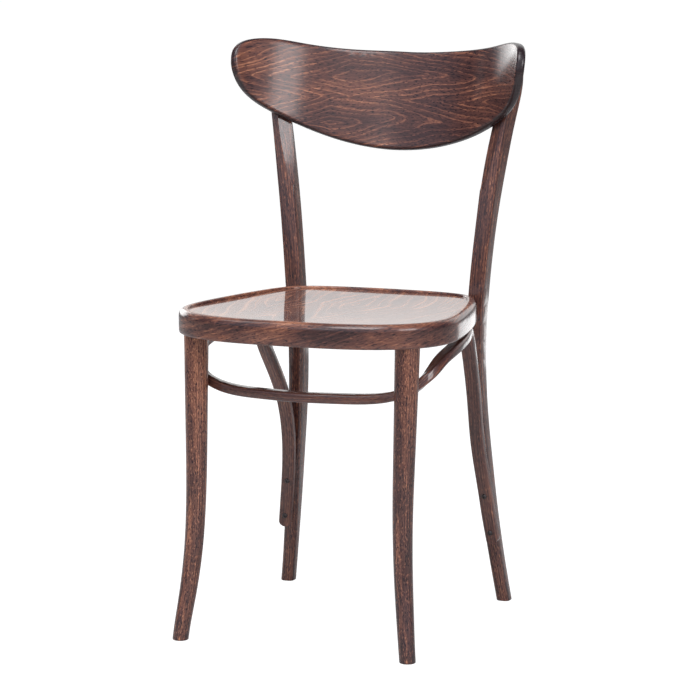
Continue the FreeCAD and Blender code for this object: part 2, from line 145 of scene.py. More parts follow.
ringHabits = {
    # what the year rings of all the woods share
    "unevenScale": 0.45, "uneven": 1.8,     # some rings are wider than others, in ring widths
    # lightness across one ring, with its pale line near the end
    "profile": [(0.0, 0.12), (0.45, 0.22), (0.74, 0.42), (0.86, 1.0), (0.94, 0.55), (1.0, 0.12)],
    # the lines fade in some places
    "fadeScale": (14, 40), "fadeShift": (3, 1, 7), "fadeGain": 1.7, "fadeLeast": 0.15,
}

surfaceHabits = {
    # how rare flecks and pores are, as a range of their noise
    "flecks": (0.56, 0.72), "pores": (0.57, 0.68),
    # the lacquer sinks a little into the pores
    "poreRoughness": 0.12, "cloudRoughness": 0.10,
    "poreHeight": -1.0, "fibreHeight": 0.5, "relief": 0.0003,
    "woodIor": 1.45, "lacquerIor": 1.5,
}


def wander(tree, vector, look):
    # the grain drifts slowly to the side, as it does in a real tree
    slow = addNoise(tree, stretched(tree, vector, *look["wanderScale"]), 1.0, 0.5, "Color")
    middle = addNode(tree, "ShaderNodeVectorMath", {1: (0.5, 0.5, 0.5)}, operation="SUBTRACT")
    tree.links.new(slow, middle.inputs[0])
    sideways = (0, look["wander"], look["wander"])
    size = addNode(tree, "ShaderNodeVectorMath", {1: sideways}, operation="MULTIPLY")
    tree.links.new(middle.outputs[0], size.inputs[0])
    total = addNode(tree, "ShaderNodeVectorMath", operation="ADD")
    tree.links.new(vector, total.inputs[0])
    tree.links.new(size.outputs[0], total.inputs[1])
    return total.outputs[0]


def ringReach(tree, vector, look, pith):
    # distance from the pith across the grain, plus the slope of the cut along it
    place = addNode(tree, "ShaderNodeMapping", {"Location": pith})
    tree.links.new(vector, place.inputs["Vector"])
    flat = addNode(tree, "ShaderNodeVectorMath", {1: (0, 1, 1)}, operation="MULTIPLY")
    tree.links.new(place.outputs["Vector"], flat.inputs[0])
    across = addNode(tree, "ShaderNodeVectorMath", operation="LENGTH")
    tree.links.new(flat.outputs[0], across.inputs[0])
    parts = addNode(tree, "ShaderNodeSeparateXYZ")
    tree.links.new(place.outputs["Vector"], parts.inputs[0])
    along = addNode(tree, "ShaderNodeMath", operation="MAXIMUM")
    tree.links.new(parts.outputs["X"], along.inputs[0])
    tree.links.new(mixIn(tree, parts.outputs["X"], -look["otherSlope"], 0.0), along.inputs[1])
    return mixIn(tree, along.outputs[0], look["ringSlope"], across.outputs["Value"])


def grainPlace(tree, look):
    # along the grain, across it and into the wood, in metres
    if look["follows"] == "grain":
        grain = addNode(tree, "ShaderNodeAttribute", attribute_name="grain").outputs["Vector"]
        turn = addNode(tree, "ShaderNodeMapping", {"Rotation": look["turn"]})
        tree.links.new(grain, turn.inputs["Vector"])
        return turn.outputs["Vector"]
    place = addNode(tree, "ShaderNodeTexCoord").outputs["Object"]
    turn = addNode(tree, "ShaderNodeMapping", {"Location": look["centre"], "Rotation": look["turn"]})
    tree.links.new(place, turn.inputs["Vector"])
    return stretched(tree, turn.outputs["Vector"], 1, 1, look["depth"])


def ringLines(tree, start, vector, look):
    # year rings: lines of equal distance from the pith, drawn out along the grain
    reach = ringReach(tree, vector, look, look["pith"])
    if "secondPith" in look:
        other = ringReach(tree, vector, look, look["secondPith"])
        nearer = addNode(tree, "ShaderNodeMath", {2: look["ringWidth"]}, operation="SMOOTH_MIN")
        tree.links.new(reach, nearer.inputs[0])
        tree.links.new(other, nearer.inputs[1])
        reach = nearer.outputs[0]
    count = mixIn(tree, reach, 1 / look["ringWidth"], 0.0)
    uneven = addNode(tree, "ShaderNodeTexNoise", {"Scale": ringHabits["unevenScale"], "Detail": 2.0},
                     noise_dimensions="1D")
    tree.links.new(count, uneven.inputs["W"])
    jagged = addNoise(tree, stretched(tree, vector, *look["jagScale"]), *fineNoise)
    count = mixIn(tree, jagged, look["jag"], count)
    count = mixIn(tree, uneven.outputs["Fac"], ringHabits["uneven"], count)
    part = addNode(tree, "ShaderNodeMath", operation="FRACT")
    tree.links.new(count, part.inputs[0])
    profile = [(place, grey(value)) for place, value in ringHabits["profile"]]
    lines = addRamp(tree, part.outputs[0], profile)
    places = stretched(tree, start, *ringHabits["fadeScale"], shift=ringHabits["fadeShift"])
    clear = addNoise(tree, places)
    fade = addNode(tree, "ShaderNodeMath", operation="MULTIPLY")
    tree.links.new(lines, fade.inputs[0])
    tree.links.new(mixIn(tree, clear, ringHabits["fadeGain"], ringHabits["fadeLeast"]), fade.inputs[1])
    return fade.outputs[0]


def stainedWood(name, look):
    material, tree, shader = newMaterial(name)
    start = grainPlace(tree, look)
    vector = wander(tree, start, look)
    lines = ringLines(tree, start, vector, look)
    fibres = addNoise(tree, stretched(tree, vector, *look["fibreScale"]), *fineNoise)
    clouds = addNoise(tree, stretched(tree, start, *look["cloudScale"]))
    flecks = addNoise(tree, stretched(tree, vector, *look["fleckScale"]), 1.0)
    flecks = addStep(tree, flecks, *surfaceHabits["flecks"])
    pores = addNoise(tree, stretched(tree, vector, *look["poreScale"]), 1.0)
    pores = addStep(tree, pores, *surfaceHabits["pores"])

    tone = mixIn(tree, lines, look["ringStrength"], look["tone"])
    tone = mixIn(tree, fibres, look["fibreStrength"], tone)
    tone = mixIn(tree, clouds, look["cloudStrength"], tone)
    tone = mixIn(tree, flecks, look["fleckStrength"], tone)
    tone = mixIn(tree, pores, -look["poreStrength"], tone)
    tone = mixIn(tree, tone, look["contrast"], 0.5 - 0.5 * look["contrast"])    # about the middle
    if "lean" in look:
        # the stain took better towards one end
        parts = addNode(tree, "ShaderNodeSeparateXYZ")
        tree.links.new(start, parts.inputs[0])
        tone = mixIn(tree, parts.outputs["X"], look["lean"], tone)
    # painted shade along the edge mask, or painted light where the value is negative
    if "paintedEdgeShade" in look:
        edge = addNode(tree, "ShaderNodeAttribute", attribute_name="edge").outputs["Fac"]
        tone = mixIn(tree, edge, -look["paintedEdgeShade"], tone)
    tree.links.new(addRamp(tree, tone, stainColours), shader.inputs["Base Color"])

    roughness = mixIn(tree, clouds, surfaceHabits["cloudRoughness"], look["roughness"])
    roughness = mixIn(tree, pores, surfaceHabits["poreRoughness"], roughness)
    tree.links.new(roughness, shader.inputs["Roughness"])
    height = mixIn(tree, fibres, surfaceHabits["fibreHeight"], 0.5)
    height = mixIn(tree, pores, surfaceHabits["poreHeight"], height)
    relief = {"Strength": look["bump"], "Distance": surfaceHabits["relief"]}
    bump = addNode(tree, "ShaderNodeBump", relief)
    tree.links.new(height, bump.inputs["Height"])
    tree.links.new(bump.outputs["Normal"], shader.inputs["Normal"])
    shader.inputs["IOR"].default_value = surfaceHabits["woodIor"]
    shader.inputs["Specular IOR Level"].default_value = look["underLacquer"]
    shader.inputs["Coat Weight"].default_value = look["coat"]
    shader.inputs["Coat Roughness"].default_value = look["coatRoughness"]
    shader.inputs["Coat IOR"].default_value = surfaceHabits["lacquerIor"]
    return material


# copies of the CAD forms, merged, with the grain laid along them

mergeDistance = 0.00001
woodSmoothAngle = math.radians(38)


def plainCopy(node, name):
    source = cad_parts[node]
    bpy.ops.object.select_all(action="DESELECT")
    source.select_set(True)
    bpy.context.view_layer.objects.active = source
    bpy.ops.object.duplicate()
    piece = bpy.context.active_object
    piece.name = name
    piece.data.name = name
    for key in list(piece.keys()):
        del piece[key]
    piece.parent = None
    piece.data.materials.clear()
    bpy.ops.object.mode_set(mode="EDIT")
    bpy.ops.mesh.select_all(action="SELECT")
    bpy.ops.mesh.remove_doubles(threshold=mergeDistance)
    bpy.ops.object.mode_set(mode="OBJECT")
    bpy.ops.mesh.customdata_custom_splitnormals_clear()
    bpy.ops.object.shade_smooth_by_angle(angle=woodSmoothAngle)
    return piece


def addEdgeMask(piece, values):
    # where the wood is painted darker as shade, or lighter as light from above, 1 in full
    mask = piece.data.attributes.new("edge", "FLOAT", "POINT")
    mask.data.foreach_set("value", np.clip(values, 0, 1).astype(np.float32))


def finishPiece(piece, material, slot, *nodes):
    piece.data.materials.clear()
    piece.data.materials.append(material)
    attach(piece, "root")
    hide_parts(*nodes)


def smoothLine(points, closed=False, steps=10):
    # a soft line through the points
    points = np.array(points, float)
    count = len(points)
    made = []
    spans = count if closed else count - 1
    for i in range(spans):
        if closed:
            a, b, c, d = (points[(i + k) % count] for k in (-1, 0, 1, 2))
        else:
            a, b = points[max(i - 1, 0)], points[i]
            c, d = points[i + 1], points[min(i + 2, count - 1)]
        for t in np.arange(steps) / steps:
            made.append(0.5 * (2 * b + (c - a) * t + (2 * a - 5 * b + 4 * c - d) * t * t
                               + (3 * b - a - 3 * c + d) * t ** 3))
    made.append(points[0] if closed else points[-1])
    return np.array(made)


def layGrain(piece, points, up, closed=False):
    # each corner of the mesh gets its place along the line and off it, in metres
    line = smoothLine(points, closed)
    tangent = np.gradient(line, axis=0)
    tangent /= np.linalg.norm(tangent, axis=1)[:, None]
    side = np.zeros_like(line)
    level = np.array(up, float)
    for i, t in enumerate(tangent):
        level = level - t * (level @ t)
        level /= np.linalg.norm(level)
        side[i] = level
    other = np.cross(tangent, side)
    start, step = line[:-1], np.diff(line, axis=0)
    length = np.linalg.norm(step, axis=1)
    reach = np.concatenate([[0], np.cumsum(length)])

    mesh = piece.data
    co = vertexPlaces(mesh)
    off = co[:, None, :] - start[None]
    share = np.clip((off * step[None]).sum(2) / (length ** 2)[None], 0, 1)
    gap = np.linalg.norm(off - share[..., None] * step[None], axis=2)
    near = gap.argmin(1)
    rows = np.arange(len(co))
    t = share[rows, near]
    foot = start[near] + t[:, None] * step[near]
    mixSide = side[near] * (1 - t)[:, None] + side[near + 1] * t[:, None]
    mixOther = other[near] * (1 - t)[:, None] + other[near + 1] * t[:, None]
    beside = ((co - foot) * mixSide).sum(1)
    behind = ((co - foot) * mixOther).sum(1)
    along = reach[near] + t * length[near]

    corners = np.zeros(len(mesh.loops), int)
    mesh.loops.foreach_get("vertex_index", corners)
    values = np.stack([along, beside, behind], 1)[corners]
    if closed:
        # the ends of the line meet inside one row of faces
        faces = np.zeros(len(mesh.loops), int)
        for face in mesh.polygons:
            faces[face.loop_start:face.loop_start + face.loop_total] = face.index
        first = values[[face.loop_start for face in mesh.polygons], 0][faces]
        values[:, 0] += reach[-1] * np.round((first - values[:, 0]) / reach[-1])
    grain = mesh.attributes.new("grain", "FLOAT_VECTOR", "CORNER")
    grain.data.foreach_set("vector", values.astype(np.float32).ravel())


bend = {
    # the backrest's curve seen from above: arcs of two radii, leaning back
    "middle": (0.0, 0.2085, 0.745), "lean": math.radians(15.5),
    "middleRadius": 0.306, "endRadius": 0.202, "change": 0.096, "thickness": 0.013,
}


def behindBoard(co):
    # how far points lie behind the front face of the backrest or its continuation
    sine, cosine = math.sin(bend["lean"]), math.cos(bend["lean"])
    off = co - np.array(bend["middle"])
    side = np.abs(off[:, 0])
    ahead = -cosine * off[:, 1] + sine * off[:, 2]
    turn = bend["change"] / bend["middleRadius"]
    step = bend["middleRadius"] - bend["endRadius"]
    inMiddle = np.hypot(side, bend["middleRadius"] - ahead) - bend["middleRadius"]
    endX, endAhead = step * math.sin(turn), bend["middleRadius"] - step * math.cos(turn)
    atEnd = np.hypot(side - endX, endAhead - ahead) - bend["endRadius"]
    beyond = np.arctan2(side, bend["middleRadius"] - ahead) > turn
    return np.where(beyond, atEnd, inMiddle)


def vertexPlaces(mesh):
    co = np.zeros(len(mesh.vertices) * 3)
    mesh.vertices.foreach_get("co", co)
    return co.reshape(-1, 3)


def mirrored(points):
    return [(-x, y, z) for x, y, z in points]


# seat ring

seatRing = {
    "paintedLightFrom": 0.459, "paintedLightFade": 0.005,    # heights: the top of the rim is painted lighter, standing in for light from above
    # middle of the ring's section, half way round, from the middle of the front to the back
    "line": [
        (0.0, -0.218, 0.448),
        (0.073, -0.215, 0.448),
        (0.124, -0.202, 0.448),
        (0.155, -0.181, 0.448),
        (0.173, -0.153, 0.448),
        (0.181, -0.121, 0.448),
        (0.180, -0.083, 0.448),
        (0.172, -0.033, 0.448),
        (0.163, 0.010, 0.448),
        (0.152, 0.056, 0.448),
        (0.140, 0.090, 0.448),
        (0.124, 0.112, 0.448),
        (0.100, 0.124, 0.448),
        (0.056, 0.131, 0.448),
        (0.0, 0.1335, 0.448),
    ],
    "look": {
        "follows": "grain", "turn": (0, 0, math.radians(-12)),
        "wander": 0.020, "wanderScale": (6, 12),
        "pith": (0, 0.02, 0.06), "ringWidth": 0.0060, "ringSlope": 0.05, "otherSlope": 1.0,
        "jag": 0.3, "jagScale": (70, 220),
        "tone": -0.17, "contrast": 1.4, "paintedEdgeShade": -0.22,
        "ringStrength": 0.16,
        "fibreScale": (45, 420), "fibreStrength": 0.36,
        "cloudScale": (13, 46), "cloudStrength": 0.86,
        "fleckScale": (150, 420), "fleckStrength": 0.14,
        "poreScale": (160, 700), "poreStrength": 0.28,
        "roughness": 0.40, "underLacquer": 0.15, "bump": 0.12, "coat": 0.9, "coatRoughness": 0.15,
    },
}

ring = plainCopy("seat_ring", "seatRing")
half = seatRing["line"]
layGrain(ring, mirrored(half[::-1]) + half[1:-1], (0, 0, 1), closed=True)
# the top of the rim is painted lighter, as light from above
addEdgeMask(ring, (vertexPlaces(ring.data)[:, 2] - seatRing["paintedLightFrom"]) / seatRing["paintedLightFade"])
finishPiece(ring, stainedWood("ringWood", seatRing["look"]), "stained_wood", "seat_ring")
print("seat ring done")


# front legs

frontLeg = {
    "rightTone": -0.11, "leftTone": -0.035,      # the right leg is painted darker than the left, as shade with the light coming from the left
    # centreline of the right leg, from the floor up
    "line": [
        (0.1714, -0.2101, 0.0),
        (0.1644, -0.2016, 0.06),
        (0.1586, -0.1939, 0.12),
        (0.1558, -0.1895, 0.18),
        (0.1554, -0.1864, 0.24),
        (0.1561, -0.1838, 0.30),
        (0.1569, -0.1815, 0.36),
        (0.1578, -0.1789, 0.45),
    ],
    "look": {
        "follows": "grain", "turn": (0, 0, 0),
        "wander": 0.006, "wanderScale": (7, 30),
        "pith": (0, 0.004, 0.034), "ringWidth": 0.0036, "ringSlope": 0.02, "otherSlope": 1.0,
        "jag": 0.4, "jagScale": (60, 300),
        "contrast": 1.6, "lean": 0.60,
        "ringStrength": 0.24,
        "fibreScale": (30, 460), "fibreStrength": 0.50,
        "cloudScale": (5, 60), "cloudStrength": 0.34,
        "fleckScale": (240, 620), "fleckStrength": 0.24,
        "poreScale": (190, 800), "poreStrength": 0.34,
        "roughness": 0.42, "underLacquer": 0.15, "bump": 0.2, "coat": 0.8, "coatRoughness": 0.16,
    },
}

for node, name, line, tone in (
    ("front_leg_right", "frontLegRight", frontLeg["line"], frontLeg["rightTone"]),
    ("front_leg_left", "frontLegLeft", mirrored(frontLeg["line"]), frontLeg["leftTone"]),
):
    leg = plainCopy(node, name)
    layGrain(leg, line, (1, 0, 0))
    # lit and shaded copies of one wood: the right leg is painted darker as shade
    legWood = stainedWood(name + "Wood", {**frontLeg["look"], "tone": tone})
    finishPiece(leg, legWood, "stained_wood", node)
print("front legs done")


# rear posts

rearPost = {
    "planedTolerance": 0.0001,
    # centreline of the right post, from the floor up
    "line": [
        (0.1751, 0.1866, 0.0),
        (0.1596, 0.1704, 0.12),
        (0.1478, 0.1574, 0.24),
        (0.1414, 0.1491, 0.36),
        (0.1461, 0.1479, 0.48),
        (0.1534, 0.1518, 0.56),
        (0.1644, 0.1575, 0.65),
        (0.1776, 0.1665, 0.73),
        (0.1856, 0.1725, 0.80),
    ],
    "look": {
        "follows": "grain", "turn": (0, 0, 0),
        "wander": 0.006, "wanderScale": (7, 30),
        "pith": (0, 0.03, 0.02), "ringWidth": 0.0038, "ringSlope": 0.02, "otherSlope": 1.0,
        "jag": 0.4, "jagScale": (50, 300),
        "tone": -0.04, "contrast": 1.5,
        "ringStrength": 0.26,
        "fibreScale": (24, 460), "fibreStrength": 0.46,
        "cloudScale": (5, 60), "cloudStrength": 0.40,
        "fleckScale": (150, 480), "fleckStrength": 0.20,
        "poreScale": (150, 800), "poreStrength": 0.30,
        "roughness": 0.42, "underLacquer": 0.15, "bump": 0.2, "coat": 1.0, "coatRoughness": 0.13,
    },
}

postWood = stainedWood("postWood", rearPost["look"])
for node, name, line in (
    ("rear_post_right", "rearPostRight", rearPost["line"]),
    ("rear_post_left", "rearPostLeft", mirrored(rearPost["line"])),
):
    post = plainCopy(node, name)
    layGrain(post, line, (1, 0, 0))
    # the flat planed for the backrest keeps a crisp edge
    offBoard = np.abs(behindBoard(vertexPlaces(post.data)) - bend["thickness"])
    planed = offBoard < rearPost["planedTolerance"]
    flat = [all(planed[i] for i in face.vertices) for face in post.data.polygons]
    sides = {}
    for face in post.data.polygons:
        for key in face.edge_keys:
            sides.setdefault(key, set()).add(flat[face.index])
    for edge in post.data.edges:
        if len(sides[edge.key]) == 2:
            edge.use_edge_sharp = True
    finishPiece(post, postWood, "stained_wood", node)
print("rear posts done")


# stretcher bow

stretcherBow = {
    # right half of its centreline, from the middle of the front
    "line": [
        (0.0, -0.1876, 0.3544),
        (0.055, -0.1811, 0.3545),
        (0.1035, -0.1686, 0.3552),
        (0.1368, -0.1601, 0.3610),
        (0.1600, -0.1543, 0.3723),
        (0.1750, -0.1426, 0.3870),
        (0.1820, -0.1194, 0.4030),
        (0.1845, -0.0821, 0.4130),
        (0.1815, -0.0356, 0.4188),
        (0.1745, 0.0031, 0.4228),
        (0.1675, 0.0259, 0.4247),
        (0.1632, 0.0404, 0.4234),
        (0.1620, 0.0519, 0.4083),
        (0.1615, 0.0599, 0.3920),
        (0.1586, 0.0789, 0.3605),
        (0.1530, 0.1089, 0.3100),
        (0.1510, 0.1314, 0.2440),
        (0.1567, 0.1459, 0.1780),
        (0.1633, 0.1534, 0.1230),
        (0.1676, 0.1585, 0.0920),
    ],
    "look": {
        "follows": "grain", "turn": (0, 0, 0),
        "wander": 0.003, "wanderScale": (7, 40),
        "pith": (0, 0.02, 0.03), "ringWidth": 0.0036, "ringSlope": 0.02, "otherSlope": 1.0,
        "jag": 0.4, "jagScale": (50, 300),
        "tone": 0.03, "contrast": 1.4,
        "ringStrength": 0.22,
        "fibreScale": (24, 480), "fibreStrength": 0.40,
        "cloudScale": (6, 50), "cloudStrength": 0.34,
        "fleckScale": (150, 500), "fleckStrength": 0.14,
        "poreScale": (110, 900), "poreStrength": 0.16,
        "roughness": 0.38, "underLacquer": 0.15, "bump": 0.12, "coat": 1.0, "coatRoughness": 0.12,
    },
}

bow = plainCopy("stretcher_bow", "stretcherBow")
half = stretcherBow["line"]
layGrain(bow, mirrored(half[:0:-1]) + half, (0, 0, 1))
finishPiece(bow, stainedWood("bowWood", stretcherBow["look"]), "stained_wood", "stretcher_bow")
print("stretcher bow done")


# seat panel and backrest, veneered

seatPanel = {
    "look": {
        "follows": "place",
        # the pattern's middle comes after the turn: along the grain, then across
        "centre": (0.02, 0.108, 0.0), "turn": (0, 0, math.radians(90)), "depth": 0.0,
        "wander": 0.050, "wanderScale": (5, 11),
        "pith": (0, 0, 0.004), "secondPith": (-0.011, -0.114, 0.004),
        "ringWidth": 0.0140, "ringSlope": 0.28, "otherSlope": 0.6,
        "jag": 0.22, "jagScale": (60, 200),
        "tone": 0.10, "contrast": 1.4,
        "ringStrength": 0.32,
        "fibreScale": (16, 420), "fibreStrength": 0.24,
        "cloudScale": (7, 18), "cloudStrength": 0.62,
        "fleckScale": (120, 480), "fleckStrength": 0.10,
        "poreScale": (90, 900), "poreStrength": 0.16,
        "roughness": 0.40, "underLacquer": 0.1, "bump": 0.05, "coat": 1.0, "coatRoughness": 0.065,
    },
}

backrestBoard = {
    "rimFade": 0.002,       # the edges are painted darker than the faces, as shade
    "look": {
        "follows": "place",
        "centre": (0.080, -0.775, 0.0), "turn": (math.radians(-90), 0, 0), "depth": 0.0,
        "wander": 0.034, "wanderScale": (7, 18),
        "pith": (0, 0, 0.005), "secondPith": (0.023, 0.067, 0.004),
        "ringWidth": 0.0068, "ringSlope": 0.14, "otherSlope": 2.0,
        "jag": 0.38, "jagScale": (90, 240),
        "tone": -0.02, "contrast": 1.45, "lean": -0.5, "paintedEdgeShade": 0.5,
        "ringStrength": 0.31,
        "fibreScale": (22, 420), "fibreStrength": 0.34,
        "cloudScale": (6, 20), "cloudStrength": 0.50,
        "fleckScale": (120, 480), "fleckStrength": 0.12,
        "poreScale": (170, 700), "poreStrength": 0.32,
        "roughness": 0.42, "underLacquer": 0.08, "bump": 0.12, "coat": 0.9, "coatRoughness": 0.235,
    },
}

panel = plainCopy("seat_panel", "seatPanel")
finishPiece(panel, stainedWood("panelVeneer", seatPanel["look"]), "stained_veneer", "seat_panel")
board = plainCopy("backrest", "backrestBoard")
depth = behindBoard(vertexPlaces(board.data))
# the board's edges are painted darker, as shade
addEdgeMask(board, np.minimum(depth, bend["thickness"] - depth) / backrestBoard["rimFade"])
finishPiece(board, stainedWood("backrestVeneer", backrestBoard["look"]), "stained_veneer", "backrest")
print("panel and backrest done")


# screws and bolts

fastenerKinds = {
    # diameters of shank and head, height of the head, then the cross: width, length and depth
    "small": {"shank": 0.004, "head": 0.008, "height": 0.0024,
              "slot": 0.0010, "cross": 0.0044, "depth": 0.0013},
    "bolt": {"shank": 0.006, "head": 0.011, "height": 0.0032,
             "slot": 0.0014, "cross": 0.0060, "depth": 0.0018},
}

screwShape = {
    "sides": 32, "smoothAngle": math.radians(35),
    "edge": 0.14,                       # straight edge of the head, as a share of its height
    # the dome above it: share of the radius and of the height for each step
    "dome": [(0.93, 0.30), (0.80, 0.30), (0.60, 0.18), (0.34, 0.08)],
    "crossTaper": (0.45, 0.7, 1), "crossTurns": (0, 90),
}

fasteners = {
    # node and kind
    "backrestScrews": ("backrest_screws", "small"),
    "seatBolts": ("seat_bolts", "bolt"),
    "bowPostScrews": ("bow_post_screws", "small"),
    "bowLegScrews": ("bow_leg_screws", "small"),
    "bowRingScrews": ("bow_ring_screws", "small"),
}


def screwPlaces(node, kind):
    # read off the CAD node, for each screw on the right: point under the head, way out, length
    plainCopy(node, node + "Apart")
    bpy.ops.object.mode_set(mode="EDIT")
    bpy.ops.mesh.separate(type="LOOSE")
    bpy.ops.object.mode_set(mode="OBJECT")
    places = []
    for part in list(bpy.context.selected_objects):
        co = vertexPlaces(part.data)
        # most points are in the head, so the tip is the one farthest from their middle
        tip = co[np.linalg.norm(co - co.mean(axis=0), axis=1).argmax()]
        top = co[np.linalg.norm(co - tip, axis=1).argmax()]
        reach = np.linalg.norm(top - tip)
        outward = (top - tip) / reach
        if top[0] > 0:
            places.append((top - kind["height"] * outward, outward, reach - kind["height"]))
        bpy.data.objects.remove(part)
    return places


def selectFaces(mesh, goal):
    # in object mode: only the faces that the goal picks
    for vertex in mesh.vertices:
        vertex.select = False
    for edge in mesh.edges:
        edge.select = False
    for face in mesh.polygons:
        face.select = goal(face)


def facesDown(face):
    return face.normal.z < -0.9


def facesUp(face):
    return face.normal.z > 0.9


def crossCutter(kind, turn):
    # one bar of the cross, narrower at its bottom, reaching out of the head
    bpy.ops.mesh.primitive_cube_add(size=1, location=(0, 0, 0))
    cutter = bpy.context.active_object
    bottom = kind["height"] - kind["depth"]
    reach = kind["height"] + kind["depth"]
    selectFaces(cutter.data, facesDown)
    bpy.ops.object.mode_set(mode="EDIT")
    bpy.ops.transform.resize(value=screwShape["crossTaper"])
    bpy.ops.object.mode_set(mode="OBJECT")
    cutter.scale = (kind["cross"], kind["slot"], reach)
    cutter.location = (0, 0, bottom + reach / 2)
    cutter.rotation_euler = (0, 0, math.radians(turn))
    bpy.ops.object.transform_apply(location=True, rotation=True, scale=True)
    return cutter


def modelScrew(kind, length, name):
    # domed head with a cross recess, plain shank, pointed tip
    head, height, shank = kind["head"], kind["height"], kind["shank"]
    edge = height * screwShape["edge"]
    bpy.ops.mesh.primitive_cylinder_add(
        vertices=screwShape["sides"], radius=head / 2, depth=edge, location=(0, 0, edge / 2))
    piece = bpy.context.active_object
    piece.name = name
    bpy.ops.object.transform_apply(location=True, rotation=True, scale=True)
    selectFaces(piece.data, facesUp)
    bpy.ops.object.mode_set(mode="EDIT")
    radius = 1.0
    for share, rise in screwShape["dome"]:
        bpy.ops.mesh.extrude_region_move(TRANSFORM_OT_translate={"value": (0, 0, height * rise)})
        bpy.ops.transform.resize(value=(share / radius, share / radius, 1))
        radius = share
    bpy.ops.object.mode_set(mode="OBJECT")
    selectFaces(piece.data, facesDown)
    bpy.ops.object.mode_set(mode="EDIT")
    bpy.ops.mesh.extrude_region_move(TRANSFORM_OT_translate={"value": (0, 0, 0)})
    bpy.ops.transform.resize(value=(shank / head, shank / head, 1))
    bpy.ops.mesh.extrude_region_move(TRANSFORM_OT_translate={"value": (0, 0, shank - length)})
    bpy.ops.mesh.extrude_region_move(TRANSFORM_OT_translate={"value": (0, 0, -shank)})
    bpy.ops.mesh.merge(type="CENTER")
    bpy.ops.mesh.select_all(action="SELECT")
    bpy.ops.mesh.normals_make_consistent(inside=False)
    bpy.ops.object.mode_set(mode="OBJECT")
    for turn in screwShape["crossTurns"]:
        cutter = crossCutter(kind, turn)
        bpy.ops.object.select_all(action="DESELECT")
        piece.select_set(True)
        bpy.context.view_layer.objects.active = piece
        cut = piece.modifiers.new("cross", "BOOLEAN")
        cut.operation = "DIFFERENCE"
        cut.object = cutter
        bpy.ops.object.modifier_apply(modifier="cross")
        bpy.data.objects.remove(cutter)
    bpy.ops.object.shade_smooth_by_angle(angle=screwShape["smoothAngle"])
    return piece


def placeCopy(model, seat, outward):
    bpy.ops.object.select_all(action="DESELECT")
    model.select_set(True)
    bpy.context.view_layer.objects.active = model
    bpy.ops.object.duplicate()
    copy = bpy.context.active_object
    copy.rotation_mode = "QUATERNION"
    copy.rotation_quaternion = Vector((0, 0, 1)).rotation_difference(Vector(outward))
    copy.location = seat
    bpy.ops.object.transform_apply(location=True, rotation=True, scale=True)
    return copy


metal = {
    "tarnishScale": 900, "metallic": 0.85, "roughness": 0.26, "tarnishRoughness": 0.25,
    "colours": [(0.3, stain(52, 48, 48)), (0.6, stain(84, 78, 78)), (0.8, stain(118, 112, 112))],
}


def screwMetal(name):
    material, tree, shader = newMaterial(name)
    place = addNode(tree, "ShaderNodeTexCoord").outputs["Object"]
    fine = stretched(tree, place, metal["tarnishScale"], metal["tarnishScale"])
    tarnish = addNoise(tree, fine, *fineNoise)
    tree.links.new(addRamp(tree, tarnish, metal["colours"]), shader.inputs["Base Color"])
    roughness = mixIn(tree, tarnish, metal["tarnishRoughness"], metal["roughness"])
    tree.links.new(roughness, shader.inputs["Roughness"])
    shader.inputs["Metallic"].default_value = metal["metallic"]
    return material


darkMetal = screwMetal("darkScrewMetal")
for name, (node, kindName) in fasteners.items():
    kind = fastenerKinds[kindName]
    copies = []
    for seat, outward, length in screwPlaces(node, kind):
        model = modelScrew(kind, length, name + "Model")
        copies.append(placeCopy(model, seat, outward))
        copies.append(placeCopy(model, *mirrored([seat, outward])))
        bpy.data.objects.remove(model)
    bpy.ops.object.select_all(action="DESELECT")
    for copy in copies:
        copy.select_set(True)
    bpy.context.view_layer.objects.active = copies[0]
    bpy.ops.object.join()
    copies[0].name = name
    copies[0].data.name = name
    finishPiece(copies[0], darkMetal, "dark_screws", node)
print("screws done")


# floor, light and camera

studio = {
    "floorSize": 60.0, "floorDrop": 0.0002,
    "floorPaint": (0.80, 0.80, 0.82, 1),    # what the wood sees of the floor
    "floorGrey": 0.26, "floorGlow": 0.96,   # what the camera sees: the grey part keeps the shadow
    "worldOnWood": 0.25,
    # what reflections show, from in front of the chair to behind it
    "sheet": [
        (0.00, (0.84, 0.88, 1.0, 1)),
        (0.30, (0.72, 0.76, 0.92, 1)),
        (0.46, (0.10, 0.10, 0.14, 1)),
        (0.80, (0.10, 0.10, 0.14, 1)),
        (0.90, grey(1)),
    ],
    "lampsFace": (0, 0, 0.45),              # the point that the lamps face
    # azimuth (0 in front, 90 to the right), elevation, distance, width, height, brightness
    "lamps": {
        "key": (5, 57, 3.0, 1.6, 1.6, 6.6),
        "leftHigh": (-62, 56, 3.0, 1.2, 1.2, 2.4),
        "centre": (-14, 22, 3.2, 0.6, 0.8, 2.6),
        "left": (-84, 12, 3.0, 0.25, 1.0, 1.8),
        "right": (63, 22, 3.2, 1.3, 1.2, 6.2),
        "leftBack": (-126, 13, 3.0, 1.8, 1.0, 3.0),
        "back": (172, -10.0, 0.98, 0.52, 0.09, 1.7),
        "above": (10, 86, 3.0, 1.2, 1.2, 2.5),
    },
}

photoView = {
    "target": (0.0, -0.029075, 0.3969),
    "azimuth": 22.12, "elevation": 8.66, "distance": 4.1114,
    "lens": 148.27, "sensor": 36.0, "clip": (0.1, 100),
    "shift": (0.0125, 0.0003),
}


def direction(azimuth, elevation):
    a, e = math.radians(azimuth), math.radians(elevation)
    return Vector((math.sin(a) * math.cos(e), -math.cos(a) * math.cos(e), math.sin(e)))


world = bpy.data.worlds.new("whiteStudio")
bpy.context.scene.world = world
world.use_nodes = True
tree = world.node_tree
tree.nodes.clear()
plain = addNode(tree, "ShaderNodeBackground", {"Color": grey(1), "Strength": studio["worldOnWood"]})
